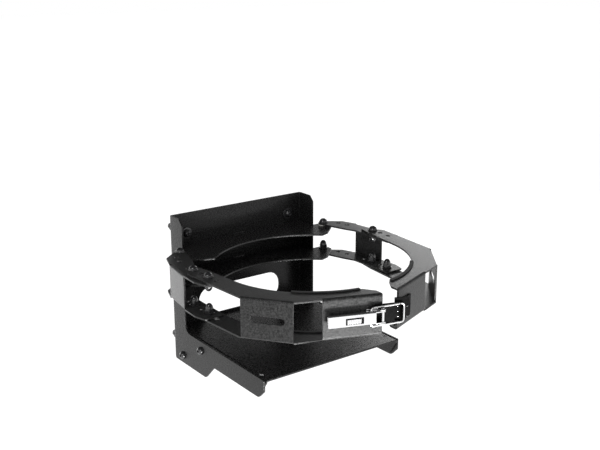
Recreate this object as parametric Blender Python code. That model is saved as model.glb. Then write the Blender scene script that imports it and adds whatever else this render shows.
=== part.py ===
"""Wall bracket that holds a gas cylinder: a back frame with a shelf, and a two-armed ring with a draw latch.

Metres, +Z up, +X to the right as seen from the front, -Y away from the wall. The wall face is the plane
Y = 0, and Z = 0 is the line of the two upper wall bolts. The ring's axis is vertical, RING_Y in front of
the wall. Every steel sheet piece is cut and folded, and the two arms swing on vertical hinge bolts.
"""
from math import atan2, cos, degrees, hypot, pi, radians, sin

import bmesh
import bpy
from mathutils import Matrix, Vector

# Driving dimensions of the sheet metal
SHEET = 0.003
GAP = 0.0003
BEND_RADIUS = 0.0045
FRAME_WIDTH = 0.280
SHELF_TOP = -0.1665
FRAME_TOP = SHELF_TOP + 0.203
FRAME_BOTTOM = SHELF_TOP - 0.062
CHEEK_DEPTH = 0.043
CHEEK_CHAMFER = 0.010
FOOT_DEPTH = 0.108
LIP_HEIGHT = 0.034
LIP_CHAMFER = 0.0148
WINDOW_WIDTH = 0.176
WINDOW_LOW = SHELF_TOP + 0.004
WINDOW_HIGH = SHELF_TOP + 0.057
WINDOW_RADIUS = 0.024

# Driving dimensions of the ring. Its plan is drawn round a 315 mm cylinder and follows its radius.
CYLINDER_RADIUS = 0.1575
CYLINDER_PLAY = 0.0015
EDGING_WALL = 0.0030
EDGING_LIP = 0.0035
RING_RADIUS = CYLINDER_RADIUS + CYLINDER_PLAY + EDGING_WALL
PLAN = CYLINDER_RADIUS / 0.1575
WALL_SPACE = 0.0672
RING_Y = -(CYLINDER_RADIUS + WALL_SPACE)
RING_MID = SHELF_TOP + 0.1237
SHELF_REACH = 0.0633
SHELF_DEPTH = SHELF_REACH - RING_Y
YOKE_RADIUS = CYLINDER_RADIUS + 0.0075
YOKE_HEIGHT = 0.049
WASHER_THICKNESS = 0.0015
HINGE_GAP = WASHER_THICKNESS + 2 * GAP
LINK_HEIGHT = YOKE_HEIGHT + 2 * (SHEET + HINGE_GAP)
ARM_HEIGHT = LINK_HEIGHT + 2 * (SHEET + GAP)
HINGE_X = 0.1525 * PLAN
HINGE_Y = 0.1675 * PLAN
HINGE_LOBE = 0.0095
TAB_WIDTH = 0.026

# Corners of the links and arms, from the ring's axis
LINK_WALL = ((0.1970 * PLAN, 0.1240 * PLAN), (0.2065 * PLAN, 0.0610 * PLAN))
CORNER_REAR = (0.1925 * PLAN, -0.0795 * PLAN)
CORNER_FRONT = (0.1430 * PLAN, -0.1455 * PLAN)
ARM_END_X = 0.0145
FRONT_SLOPE = radians(20.77)
FRONT_LENGTH = (CORNER_FRONT[0] - ARM_END_X) / cos(FRONT_SLOPE)
PANEL_START = 0.0438

# Fasteners
BOLT_RADIUS = 0.004
HOLE_RADIUS = 0.0045
HEAD_RADIUS = 0.007
HEAD_HEIGHT = 0.0060
FLANGE_RADIUS = 0.0081
FLANGE_THICKNESS = 0.0016
NUT_FLATS = 0.013
NUT_BODY = 0.0065
NUT_DOME = 0.0084
NUT_BORE = 0.0110
BORE_PLAY = 0.0008
WALL_BOLT_X = FRAME_WIDTH / 2 - 0.031
LOWER_BOLT_Z = SHELF_TOP - 0.040
WALL_BOLT_REACH = 0.0425
WALL_WASHER_RADIUS = 0.0105
WALL_WASHER_THICKNESS = 0.0016
CLAMP_HOLES = [(x * PLAN, y * PLAN) for x, y in (
    (0.1862, 0.0650), (0.1852, 0.0435), (0.1843, 0.0220), (0.1834, 0.0005))]
LINK_HOLES = [(x * PLAN, y * PLAN) for x, y in ((0.1720, 0.1470), (0.1770, 0.1270), (0.1842, 0.0865))]

# The draw latch, in its own frame: along the left arm's front panel, and outwards from it
LATCH_PIVOT = (FRONT_LENGTH - 0.0034, 0.008)
BAIL_PIVOT = (LATCH_PIVOT[0] - 0.018, 0.007)
BAIL_BAR = (FRONT_LENGTH + 2 * ARM_END_X * cos(FRONT_SLOPE) + 0.0055, 0.0)
BAIL_WIRE = 0.0016
LEVER_END = LATCH_PIVOT[0] - 0.0855
LEVER_TOP = 0.012
LEVER_HALF = 0.0095
LATCH_SHEET = 0.0015
PIN_RADIUS = 0.0022


def clear_scene():
    for item in list(bpy.data.objects):
        bpy.data.objects.remove(item, do_unlink=True)


def paint(name, colour, roughness, metallic):
    """A plain Principled BSDF material."""
    material = bpy.data.materials.new(name)
    material.use_nodes = True
    shader = material.node_tree.nodes["Principled BSDF"]
    shader.inputs["Base Color"].default_value = (*colour, 1.0)
    shader.inputs["Roughness"].default_value = roughness
    shader.inputs["Metallic"].default_value = metallic
    return material


def arc(centre, radius, start, end, steps):
    """Points on a circle from one angle to another, both in degrees and both included."""
    points = []
    for i in range(steps + 1):
        angle = radians(start + (end - start) * i / steps)
        points.append((centre[0] + radius * cos(angle), centre[1] + radius * sin(angle)))
    return points


def rounded(corners, steps=3):
    """A polygon from (x, y, radius) corners, each corner replaced by an arc of its radius."""
    outline = []
    for i, (x, y, radius) in enumerate(corners):
        corner = Vector((x, y))
        if radius == 0:
            outline.append((x, y))
            continue
        before = (Vector(corners[i - 1][:2]) - corner).normalized()
        after = (Vector(corners[(i + 1) % len(corners)][:2]) - corner).normalized()
        half = before.angle(after) / 2
        reach = radius / sin(half)
        centre = corner + (before + after).normalized() * reach
        first = corner + before * (reach * cos(half)) - centre
        last = corner + after * (reach * cos(half)) - centre
        turn = first.angle_signed(last)
        for k in range(steps + 1):
            part = -turn * k / steps
            point = centre + Matrix.Rotation(part, 2) @ first
            outline.append((point.x, point.y))
    return outline


def new_object(name, bm, material=None):
    """Put a bmesh into a named object with outward normals."""
    bmesh.ops.recalc_face_normals(bm, faces=bm.faces)
    if bm.calc_volume(signed=True) < 0:
        bmesh.ops.reverse_faces(bm, faces=bm.faces)
    mesh = bpy.data.meshes.new(name)
    bm.to_mesh(mesh)
    bm.free()
    item = bpy.data.objects.new(name, mesh)
    bpy.context.scene.collection.objects.link(item)
    if material:
        mesh.materials.append(material)
    return item


def smooth(item, angle=40):
    item.data.shade_smooth()
    item.data.set_sharp_from_angle(angle=radians(angle))
    return item


AXES = {
    "Z": lambda a, b, c: (a, b, c),
    "X": lambda a, b, c: (c, a, b),
    "Y": lambda a, b, c: (a, c, b),
}


def prism(name, outline, low, high, axis="Z", holes=(), material=None):
    """A flat outline, with holes, extruded along an axis from low to high.

    The outline's two numbers are (x, y) for Z, (y, z) for X and (x, z) for Y.
    """
    place = AXES[axis]
    bm = bmesh.new()
    edges = []
    for loop in (outline, *holes):
        corners = [bm.verts.new(place(a, b, low)) for a, b in loop]
        for i, corner in enumerate(corners):
            edges.append(bm.edges.new((corners[i - 1], corner)))
    bmesh.ops.triangle_fill(bm, edges=edges, use_beauty=True)
    grown = bmesh.ops.extrude_face_region(bm, geom=bm.faces[:], use_keep_orig=True)
    lift = Vector(place(0, 0, high - low))
    moved = [g for g in grown["geom"] if isinstance(g, bmesh.types.BMVert)]
    bmesh.ops.translate(bm, verts=moved, vec=lift)
    bmesh.ops.dissolve_limit(bm, angle_limit=radians(0.5), verts=bm.verts, edges=bm.edges)
    return new_object(name, bm, material)


def loft(name, rings, material=None, closed=False):
    """Join a row of rings with equal counts, and cap the two ends unless it closes on itself."""
    bm = bmesh.new()
    loops = [[bm.verts.new(point) for point in ring] for ring in rings]
    pairs = list(zip(loops, loops[1:]))
    if closed:
        pairs.append((loops[-1], loops[0]))
    else:
        bm.faces.new(loops[0])
        bm.faces.new(loops[-1])
    for first, second in pairs:
        for i in range(len(first)):
            bm.faces.new((first[i - 1], first[i], second[i], second[i - 1]))
    return new_object(name, bm, material)


def cut(item, cutter, operation="DIFFERENCE"):
    """Boolean one object by another, which stays as a hidden guide."""
    modifier = item.modifiers.new("cut_" + cutter.name, "BOOLEAN")
    modifier.operation = operation
    modifier.object = cutter
    cutter.hide_render = True
    cutter.display_type = "WIRE"


def disc(x, y, radius=HOLE_RADIUS, steps=10):
    return arc((x, y), radius, 0, 360 * (steps - 1) / steps, steps - 1)


# The back frame

def fold_profile(width, depth, radius):
    """Plan of a sheet folded to a U: a back of the given width and two legs towards -Y."""
    half = width / 2
    outer = [(-half, -depth, 0), (-half, 0, radius), (half, 0, radius), (half, -depth, 0)]
    thin = half - SHEET
    inner_radius = radius - SHEET
    inner = [(thin, -depth, 0), (thin, -SHEET, inner_radius), (-thin, -SHEET, inner_radius),
             (-thin, -depth, 0)]
    return rounded(outer + inner)


def cheek_outline():
    """Side view of the back frame as (y, z): shallow cheek above, long lip below the shelf."""
    front = -SHELF_DEPTH + 0.002
    low = SHELF_TOP - LIP_HEIGHT
    return rounded([
        (0.01, FRAME_TOP, 0),
        (-CHEEK_DEPTH + CHEEK_CHAMFER, FRAME_TOP, 0.003),
        (-CHEEK_DEPTH, FRAME_TOP - CHEEK_CHAMFER, 0.003),
        (-CHEEK_DEPTH, SHELF_TOP, 0.014),
        (front, SHELF_TOP, 0.0015),
        (front, low + LIP_CHAMFER, 0.005),
        (front + LIP_CHAMFER, low, 0.012),
        (-FOOT_DEPTH - (low - FRAME_BOTTOM), low, 0.002),
        (-FOOT_DEPTH, FRAME_BOTTOM, 0.010),
        (-0.006, FRAME_BOTTOM, 0.002),
        (0.01, FRAME_BOTTOM + 0.012, 0),
    ], steps=4)


def window_outline():
    half = WINDOW_WIDTH / 2
    radius = WINDOW_RADIUS
    return rounded([(-half, WINDOW_LOW, radius), (half, WINDOW_LOW, radius),
                    (half, WINDOW_HIGH, radius), (-half, WINDOW_HIGH, radius)], steps=5)


def make_back_frame(steel):
    frame = prism("back_frame", fold_profile(FRAME_WIDTH, SHELF_DEPTH + 0.01, BEND_RADIUS),
                  FRAME_BOTTOM - 0.01, FRAME_TOP + 0.01, material=steel)
    side = prism("cheek_guide", cheek_outline(), -FRAME_WIDTH, FRAME_WIDTH, axis="X")
    cut(frame, side, "INTERSECT")
    cut(frame, prism("window_guide", window_outline(), -0.02, 0.01, axis="Y"))
    for number, (x, z) in enumerate(wall_bolt_places()):
        cut(frame, prism(f"wall_hole_guide_{number}", disc(x, z), -0.02, 0.01, axis="Y"))
    for number, low in enumerate(yoke_lows()):
        slot_half = TAB_WIDTH / 2 + GAP
        slot = [(-slot_half, low - GAP), (slot_half, low - GAP),
                (slot_half, low + SHEET + GAP), (-slot_half, low + SHEET + GAP)]
        cut(frame, prism(f"tab_slot_guide_{number}", slot, -0.02, 0.01, axis="Y"))
    for number, (y, z) in enumerate(shelf_screw_places()):
        guide = prism(f"shelf_hole_guide_{number}", disc(y, z), -FRAME_WIDTH, FRAME_WIDTH, axis="X")
        cut(frame, guide)
    return frame


def wall_bolt_places():
    return [(side * WALL_BOLT_X, z) for z in (0.0, LOWER_BOLT_Z) for side in (-1, 1)]


def yoke_lows():
    """Undersides of the lower and the upper yoke plate."""
    return [RING_MID - YOKE_HEIGHT / 2, RING_MID + YOKE_HEIGHT / 2 - SHEET]


def shelf_screw_places():
    """(y, z) of the two screws on each side, the same on both cheeks."""
    return [(-0.0307, SHELF_TOP - 0.0476), (-0.0934, SHELF_TOP - 0.0172)]


# The shelf

def shelf_outline():
    """Side view of the shelf's folded-down sides as (y, z), set back inside the cheeks' lips."""
    inset = 0.003
    back = -BEND_RADIUS - GAP
    front = -SHELF_DEPTH + 0.0008
    low = SHELF_TOP - LIP_HEIGHT + inset
    foot = FRAME_BOTTOM + inset
    return rounded([
        (back, SHELF_TOP + 0.01, 0),
        (front, SHELF_TOP + 0.01, 0),
        (front, SHELF_TOP - SHEET - 0.002, 0.001),
        (front + LIP_CHAMFER + inset, low, 0.008),
        (-FOOT_DEPTH - (low - foot), low, 0.002),
        (-FOOT_DEPTH + inset, foot, 0.008),
        (back, foot, 0),
    ])


def make_shelf(steel):
    """A sheet folded down at both sides, with a pressed-in nut behind each side screw."""
    half = FRAME_WIDTH / 2 - SHEET - GAP
    top = SHELF_TOP
    low = FRAME_BOTTOM - 0.01
    radius = BEND_RADIUS
    thin = half - SHEET
    profile = rounded([
        (-half, low, 0), (-half, top, radius), (half, top, radius), (half, low, 0),
        (thin, low, 0), (thin, top - SHEET, radius - SHEET),
        (-thin, top - SHEET, radius - SHEET), (-thin, low, 0),
    ])
    shelf = prism("shelf", profile, -SHELF_DEPTH - 0.01, 0.01, axis="Y", material=steel)
    cut(shelf, prism("shelf_side_guide", shelf_outline(), -FRAME_WIDTH, FRAME_WIDTH, axis="X"),
        "INTERSECT")
    for number, (y, z) in enumerate(shelf_screw_places()):
        for side in (-1, 1):
            near, far = side * (thin - 0.0055), side * (thin + 0.001)
            boss = prism(f"shelf_nut_guide_{number}_{side}", disc(y, z, 0.0062), min(near, far),
                         max(near, far), axis="X")
            cut(shelf, boss, "UNION")
        hole = prism(f"shelf_bore_guide_{number}", disc(y, z, BOLT_RADIUS + GAP), -FRAME_WIDTH,
                     FRAME_WIDTH, axis="X")
        cut(shelf, hole)
    for side in (-1, 1):
        square = disc(side * (FRAME_WIDTH / 2 - 0.012), RING_Y - 0.0385, 0.0045, 4)
        cut(shelf, prism(f"drain_guide_{side}", square, top - 0.01, top + 0.01))
    return shelf


# The yoke: two flat plates slotted into the back frame, hollowed to the cylinder's round

def yoke_outline():
    back = -SHEET - GAP
    inside = FRAME_WIDTH / 2 - SHEET - GAP
    ear_back = -CHEEK_DEPTH - GAP
    tab = TAB_WIDTH / 2
    ear = HINGE_X + 0.0130
    right = [
        (tab, back, 0), (inside, back, 0.0015), (inside, ear_back, 0), (ear, ear_back, 0.006),
        (ear, RING_Y + HINGE_Y - 0.0090, 0.006), (HINGE_X + 0.0015, RING_Y + HINGE_Y - 0.0215, 0.004),
        (0.131 * PLAN, RING_Y + 0.1255 * PLAN, 0.010),
    ]
    left = [(-x, y, r) for x, y, r in reversed(right)]
    hollow = arc((0, RING_Y), YOKE_RADIUS, 46.5, 133.5, 20)
    tongue = [(-tab, -GAP / 2, 0), (tab, -GAP / 2, 0)]
    corners = right + [(x, y, 0) for x, y in hollow] + left + tongue
    return rounded(corners)


def make_yoke_plate(name, low, steel):
    holes = [disc(side * HINGE_X, RING_Y + HINGE_Y) for side in (-1, 1)]
    return prism(name, yoke_outline(), low, low + SHEET, holes=holes, material=steel)


# Links and arms: two flanges joined by folded walls

def ring_points(side, corners):
    """Corners given from the ring's axis, as (x, y, radius), mirrored to one side of the bracket."""
    return [(side * x, RING_Y + y, radius) for x, y, radius in corners]


def wall_frame(start, end):
    """Start, direction and outward normal of a folded wall along an outline edge."""
    start, end = Vector(start), Vector(end)
    along = (end - start).normalized()
    outward = Vector((along.y, -along.x))
    if outward.dot(start) < 0:
        outward = -outward
    return start, along, outward


def bend_cutter(name, side, start, along, outward, span, height):
    """Two bars that round a folded wall's upper and lower outer edges."""
    cutters = []
    for sign in (-1, 1):
        edge = RING_MID + sign * height / 2
        bow = arc((-BEND_RADIUS, 0), BEND_RADIUS, 90, 0, 4)
        shape = [(0.001, 0.001), (-BEND_RADIUS, 0.001)]
        shape += [(w, z - BEND_RADIUS) for w, z in bow] + [(0.001, -BEND_RADIUS)]
        rings = []
        for u in span:
            spot = start + along * u
            ring = [(spot.x + outward.x * w, spot.y + outward.y * w, edge + sign * z)
                    for w, z in shape]
            rings.append([(side * x, RING_Y + y, z) for x, y, z in ring])
        cutters.append(loft(f"{name}_{'lower' if sign < 0 else 'upper'}", rings))
    return cutters


def flanged_piece(name, side, outline, holes, hollow, height, walls, steel):
    """Two flanges with the same outline, hollow between them but for the walls folded at the edge."""
    low, high = RING_MID - height / 2, RING_MID + height / 2
    piece = prism(name, rounded(ring_points(side, outline), steps=2), low, high, material=steel,
                  holes=[disc(side * x, RING_Y + y) for x, y in holes])
    inside = [(side * x, RING_Y + y) for x, y in hollow]
    cut(piece, prism(name + "_hollow_guide", inside, low + SHEET, high - SHEET))
    for number, (start, end, span) in enumerate(walls):
        frame = wall_frame(start, end)
        for cutter in bend_cutter(f"{name}_bend_{number}", side, *frame, span, height):
            cut(piece, cutter)
    return piece


def link_outline():
    lobe = arc((HINGE_X, HINGE_Y), HINGE_LOBE, 195, 62, 6)
    rear = [(0.1710, 0.1655, 0.006), (0.1870, 0.1525, 0.005)]
    front = [
        (0.2080, 0.0420, 0.010), (0.2085, 0.0250, 0.008), (0.2030, 0.0030, 0.003), (0.1680, 0.0030, 0.003),
        (0.1680, 0.0590, 0.010), (0.1670, 0.0930, 0.010), (0.1580, 0.1155, 0.010), (0.1506, 0.1400, 0.006),
    ]
    corners = [(x, y, 0) for x, y in lobe] + scaled(rear)
    return corners + [(x, y, 0) for x, y in LINK_WALL] + scaled(front)


def scaled(corners):
    """Corners of the plan as drawn, moved with the cylinder's radius."""
    return [(x * PLAN, y * PLAN, radius) for x, y, radius in corners]


def make_link(name, side, steel):
    start, along, outward = wall_frame(*LINK_WALL)
    near, far = start + along * 0.0005, Vector(LINK_WALL[1]) - along * 0.0005
    inner = outward * SHEET
    hollow = [
        (0.100, 0.200), (0.230, 0.200), tuple(near + outward * 0.02), tuple(near),
        tuple(near - inner), tuple(far - inner), tuple(far), tuple(far + outward * 0.02),
        (0.230, -0.02), (0.100, -0.02),
    ]
    holes = [(HINGE_X, HINGE_Y), *LINK_HOLES, *CLAMP_HOLES[:3]]
    length = (Vector(LINK_WALL[1]) - start).length
    walls = [(*LINK_WALL, (0.0, length))]
    return flanged_piece(name, side, link_outline(), holes, hollow, LINK_HEIGHT, walls, steel)


def front_point(u, w=0.0):
    """A point from the ring's axis, u along the front panel from its corner and w outwards from it."""
    x, y = CORNER_FRONT
    return (x - u * cos(FRONT_SLOPE) + w * sin(FRONT_SLOPE),
            y - u * sin(FRONT_SLOPE) - w * cos(FRONT_SLOPE))


def arm_outline():
    inner = arc((0, 0), RING_RADIUS, -80.5, -5, 20)
    front = [(*CORNER_REAR, 0), (*CORNER_FRONT, 0), (*front_point(FRONT_LENGTH), 0.0015),
             (ARM_END_X, -RING_RADIUS - 0.016, 0.003)]
    rear = scaled([(0.1680, 0.0500, 0.020), (0.1750, 0.0850, 0.003), (0.1808, 0.0850, 0.003),
                   (0.2028, 0.0548, 0.003)])
    return front + [(x, y, 0) for x, y in inner] + rear


def make_arm(name, side, clamp_holes, steel):
    rear_start, rear_along, rear_out = wall_frame(CORNER_REAR, CORNER_FRONT)
    rear_end = Vector(CORNER_FRONT)
    near, far = rear_start + rear_along * 0.0005, rear_end - rear_along * 0.0007
    panel = [front_point(PANEL_START, 0.02), front_point(PANEL_START),
             front_point(PANEL_START, -SHEET), front_point(FRONT_LENGTH + 0.012, -SHEET)]
    hollow = [
        (0.100, 0.130), (0.240, 0.130), (0.240, CORNER_REAR[1] + 0.01), tuple(near + rear_out * 0.02),
        tuple(near), tuple(near - rear_out * SHEET), tuple(far - rear_out * SHEET), tuple(far),
        tuple(far + rear_out * 0.02), *panel, (0.0, -0.120), (0.060, -0.060),
    ]
    length = (rear_end - rear_start).length
    walls = [
        (CORNER_REAR, CORNER_FRONT, (0.0, length)),
        (CORNER_FRONT, front_point(FRONT_LENGTH), (PANEL_START, FRONT_LENGTH + 0.003)),
    ]
    arm = flanged_piece(name, side, arm_outline(), clamp_holes, hollow, ARM_HEIGHT, walls, steel)
    cut(arm, slot_cutter(name + "_slot_guide", side, rear_start, rear_along, rear_out))
    return arm


SLOT_LENGTH = 0.054
SLOT_HEIGHT = 0.011


def slot_cutter(name, side, start, along, outward):
    """The long round-ended slot in the arm's rear wall."""
    mid = 0.0422
    reach = SLOT_LENGTH / 2 - SLOT_HEIGHT / 2
    shape = arc((mid + reach, 0), SLOT_HEIGHT / 2, -90, 90, 4)
    shape += arc((mid - reach, 0), SLOT_HEIGHT / 2, 90, 270, 4)
    rings = []
    for w in (0.004, -0.008):
        spots = [(start + along * u + outward * w, z) for u, z in shape]
        rings.append([(side * spot.x, RING_Y + spot.y, RING_MID + z) for spot, z in spots])
    return loft(name, rings)


TRIM_SPAN = (-79, -42)
TRIM_LIP = 0.0014


def make_trim(name, side, flange_low, rubber):
    """Push-on rubber edging with a U section, along one flange's hollow edge."""
    inner = RING_RADIUS - EDGING_WALL
    outer = RING_RADIUS + EDGING_LIP
    throat = RING_RADIUS - GAP
    low, high = flange_low - GAP - TRIM_LIP, flange_low + SHEET + GAP + TRIM_LIP
    section = [(inner, low), (outer, low), (outer, low + TRIM_LIP), (throat, low + TRIM_LIP),
               (throat, high - TRIM_LIP), (outer, high - TRIM_LIP), (outer, high), (inner, high)]
    rings = []
    steps = 12
    for i in range(steps + 1):
        angle = radians(TRIM_SPAN[0] + (TRIM_SPAN[1] - TRIM_SPAN[0]) * i / steps)
        rings.append([(side * r * cos(angle), RING_Y + r * sin(angle), z) for r, z in section])
    return smooth(loft(name, rings, rubber))


# Fasteners, each made once about +Z and shared by its copies

def spun(name, profile, steps, material):
    """Turn an (r, z) profile that starts and ends on the axis."""
    bm = bmesh.new()
    corners = [bm.verts.new((r, 0, z)) for r, z in profile]
    edges = [bm.edges.new(pair) for pair in zip(corners, corners[1:])]
    bmesh.ops.spin(bm, geom=corners + edges, cent=(0, 0, 0), axis=(0, 0, 1), angle=2 * pi,
                   steps=steps, use_merge=True)
    bmesh.ops.remove_doubles(bm, verts=bm.verts, dist=0.00001)
    return smooth(new_object(name, bm, material))


def head_profile(shank, length, flange=0.0):
    """Button head standing on z = 0, with or without a washer rolled under it, and a shank below."""
    if flange:
        base, top = FLANGE_THICKNESS, FLANGE_THICKNESS + HEAD_HEIGHT
        rim = [(HEAD_RADIUS, base), (flange, base), (flange, 0)]
    else:
        base, top = 0.0010, HEAD_HEIGHT
        rim = [(HEAD_RADIUS, base), (HEAD_RADIUS, 0)]
    crown = [(HEAD_RADIUS * cos(a), base + (top - base) * sin(a)) for a in (radians(62), radians(32))]
    return [(0, top), *crown, *rim, (shank, 0), (shank, -length), (0, -length)]


def hexagon(flats, z, pull=1.0):
    """A hexagon drawn with twelve points, so that it bridges to a twelve-sided circle."""
    ring = []
    for i in range(12):
        radius = flats / 2 / cos(pi / 6) if i % 2 == 0 else flats / 2
        ring.append((pull * radius * cos(i * pi / 6), pull * radius * sin(i * pi / 6), z))
    return ring


def circle(radius, z, steps=12):
    return [(radius * cos(2 * pi * i / steps), radius * sin(2 * pi * i / steps), z)
            for i in range(steps)]


def cap_nut(name, material):
    """Hexagon nut on a round flange, closed by a dome, standing on z = 0, with a blind bore."""
    bore = BOLT_RADIUS + GAP
    radius = NUT_FLATS / 2 - 0.0003
    body = FLANGE_THICKNESS + NUT_BODY
    rings = [circle(bore, NUT_BORE), circle(bore, 0), circle(FLANGE_RADIUS, 0),
             circle(FLANGE_RADIUS, FLANGE_THICKNESS), hexagon(NUT_FLATS, FLANGE_THICKNESS),
             hexagon(NUT_FLATS, body)]
    for a in (0, 32, 62):
        rings.append(circle(radius * cos(radians(a)), body + NUT_DOME * sin(radians(a))))
    return smooth(loft(name, rings, material), 40)


def washer(name, inner, outer, thickness, material):
    rings = [circle(inner, 0, 16), circle(outer, 0, 16), circle(outer, thickness, 16),
             circle(inner, thickness, 16)]
    return smooth(loft(name, rings, material, closed=True), 30)


def copy_of(pattern, name, place, axis):
    """A copy that shares its pattern's mesh, set with its own +Z along an axis."""
    item = bpy.data.objects.new(name, pattern.data)
    bpy.context.scene.collection.objects.link(item)
    item.rotation_mode = "QUATERNION"
    item.rotation_quaternion = Vector((0, 0, 1)).rotation_difference(Vector(axis))
    item.location = place
    return item


def bolt_through(pattern, nut, name, x, y, outer_z, inner_z, up):
    """A screw whose head seats at outer_z and whose nut seats at inner_z, on a vertical line."""
    copy_of(pattern, name + "_screw", (x, y, outer_z + up * GAP), (0, 0, up))
    copy_of(nut, name + "_nut", (x, y, inner_z - up * GAP), (0, 0, -up))


def shank_length(grip):
    """From under a screw's head to just short of the end of its nut's blind bore."""
    return grip + 2 * GAP + NUT_BORE - BORE_PLAY


def make_wall_fixings(finish, nut):
    """Long button-head bolts through the back frame, with a washer in front and a cap nut behind."""
    head_y = -SHEET - GAP - WALL_WASHER_THICKNESS - GAP
    length = WALL_BOLT_REACH - head_y + NUT_BORE - BORE_PLAY
    bolt = spun("bolt_pattern", head_profile(BOLT_RADIUS, length), 12, finish)
    ring = washer("washer_pattern", HOLE_RADIUS, WALL_WASHER_RADIUS, WALL_WASHER_THICKNESS, finish)
    names = ["upper_left", "upper_right", "lower_left", "lower_right"]
    for name, (x, z) in zip(names, wall_bolt_places()):
        copy_of(bolt, f"wall_bolt_{name}", (x, head_y, z), (0, -1, 0))
        copy_of(ring, f"wall_washer_{name}", (x, -SHEET - GAP, z), (0, -1, 0))
        copy_of(nut, f"wall_nut_{name}", (x, WALL_BOLT_REACH, z), (0, 1, 0))
    return [bolt, ring]


def make_shelf_screws(finish):
    pattern = spun("shelf_pattern", head_profile(BOLT_RADIUS, 0.012), 12, finish)
    for side, label in ((-1, "left"), (1, "right")):
        for (y, z), place in zip(shelf_screw_places(), ("rear", "front")):
            x = side * (FRAME_WIDTH / 2 + GAP)
            copy_of(pattern, f"shelf_screw_{label}_{place}", (x, y, z), (side, 0, 0))
    return [pattern]


def make_hinges(finish, nylon, nut):
    """At each hinge, a screw, a nut and a nylon washer hold the link to each yoke plate."""
    length = shank_length(2 * SHEET + HINGE_GAP)
    screw = spun("hinge_pattern", head_profile(BOLT_RADIUS, length, FLANGE_RADIUS), 12, finish)
    ring = washer("nylon_pattern", HOLE_RADIUS, 0.009, WASHER_THICKNESS, nylon)
    for side, label in ((-1, "left"), (1, "right")):
        x, y = side * HINGE_X, RING_Y + HINGE_Y
        for up, place in ((1, "upper"), (-1, "lower")):
            yoke = RING_MID + up * YOKE_HEIGHT / 2
            link = RING_MID + up * LINK_HEIGHT / 2
            name = f"{label}_hinge_{place}"
            bolt_through(screw, nut, name, x, y, link, yoke - up * SHEET, up)
            copy_of(ring, name + "_washer", (x, y, yoke + up * GAP), (0, 0, up))
    return [screw, ring]


def make_clamps(finish, nut):
    """Screws and nuts that clamp each arm to its link in the rows of holes."""
    length = shank_length(2 * SHEET + GAP)
    screw = spun("clamp_pattern", head_profile(BOLT_RADIUS, length, FLANGE_RADIUS), 12, finish)
    rear, front = CLAMP_HOLES[0], CLAMP_HOLES[2]
    places = [(-1, "left", 1, "upper_rear", rear), (-1, "left", 1, "upper_front", front),
              (-1, "left", -1, "lower_rear", rear), (-1, "left", -1, "lower_front", front),
              (1, "right", 1, "upper_rear", rear),
              (1, "right", -1, "lower_rear", rear), (1, "right", -1, "lower_front", front)]
    for side, label, up, place, (x, y) in places:
        outer = RING_MID + up * ARM_HEIGHT / 2
        inner = RING_MID + up * (LINK_HEIGHT / 2 - SHEET)
        bolt_through(screw, nut, f"{label}_clamp_{place}", side * x, RING_Y + y, outer, inner, up)
    return [screw]


# The draw latch on the left arm and its keeper on the right arm

def latch_point(u, w, side=-1):
    x, y = front_point(u, w)
    return side * x, RING_Y + y


def latch_prism(name, outline, low, high, material=None, side=-1):
    """An outline given along and out from the front panel, extruded between two heights."""
    return prism(name, [latch_point(u, w, side) for u, w in outline], RING_MID + low,
                 RING_MID + high, material=material)


def make_latch_base(steel):
    """A small channel riveted to the panel, with two ears for the lever's pin."""
    inner = LEVER_HALF + GAP + 0.0002
    outer = inner + LATCH_SHEET
    floor = GAP + LATCH_SHEET
    pivot_u, pivot_w = LATCH_PIVOT
    rear, front = pivot_u - 0.024, pivot_u + 0.0045
    ear = rounded([(rear, GAP, 0), (front, GAP, 0), (front, pivot_w + 0.004, 0.004),
                   (pivot_u - 0.005, pivot_w + 0.004, 0.004), (pivot_u - 0.007, floor + 0.001, 0.002),
                   (rear, floor + 0.001, 0)])
    base = latch_prism("latch_base", ear, -outer, outer, steel)
    room = [(rear - 0.01, floor), (front + 0.01, floor), (front + 0.01, 0.03), (rear - 0.01, 0.03)]
    cut(base, latch_prism("latch_room_guide", room, -inner, inner))
    bore = disc(pivot_u, pivot_w, PIN_RADIUS + GAP)
    cut(base, latch_prism("latch_bore_guide", bore, -0.03, 0.03))
    return base


def make_lever(steel):
    """A pressed lever: a flat face with two side flanges that reach to the pivot and the bail."""
    pivot_u, pivot_w = LATCH_PIVOT
    face_end = pivot_u - 0.011
    side_view = rounded([
        (LEVER_END, LEVER_TOP - 0.004, 0), (LEVER_END, LEVER_TOP, 0.002), (face_end, LEVER_TOP, 0.001),
        (pivot_u + 0.004, pivot_w + 0.0035, 0.003), (pivot_u + 0.0045, pivot_w - 0.0045, 0.004),
        (pivot_u - 0.026, 0.0028, 0.003), (pivot_u - 0.038, 0.0050, 0),
    ])
    lever = latch_prism("latch_lever", side_view, -LEVER_HALF, LEVER_HALF, steel)
    inside = LEVER_HALF - LATCH_SHEET
    roof = LEVER_TOP - LATCH_SHEET
    beyond = pivot_u + 0.016
    face_end -= 0.0005
    room = [(LEVER_END + LATCH_SHEET, -0.01), (beyond, -0.01), (beyond, 0.03), (face_end, 0.03),
            (face_end, roof), (LEVER_END + LATCH_SHEET, roof)]
    cut(lever, latch_prism("lever_room_guide", room, -inside, inside))
    for number, ((u, w), radius) in enumerate(((LATCH_PIVOT, PIN_RADIUS), (BAIL_PIVOT, BAIL_WIRE))):
        bore = disc(u, w, radius + GAP)
        cut(lever, latch_prism(f"lever_bore_guide_{number}", bore, -0.03, 0.03))
    button = button_window()
    cut(lever, latch_prism("button_guide", [(button[0], 0), (button[1], 0), (button[1], 0.03),
                                            (button[0], 0.03)], button[2], button[3]))
    return lever


def button_window():
    """Opening in the lever's face for the lock button: from, to, low and high."""
    return LEVER_END + 0.027, LEVER_END + 0.055, -0.0065, 0.0040


BUTTON_TRAVEL = 0.003


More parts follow.
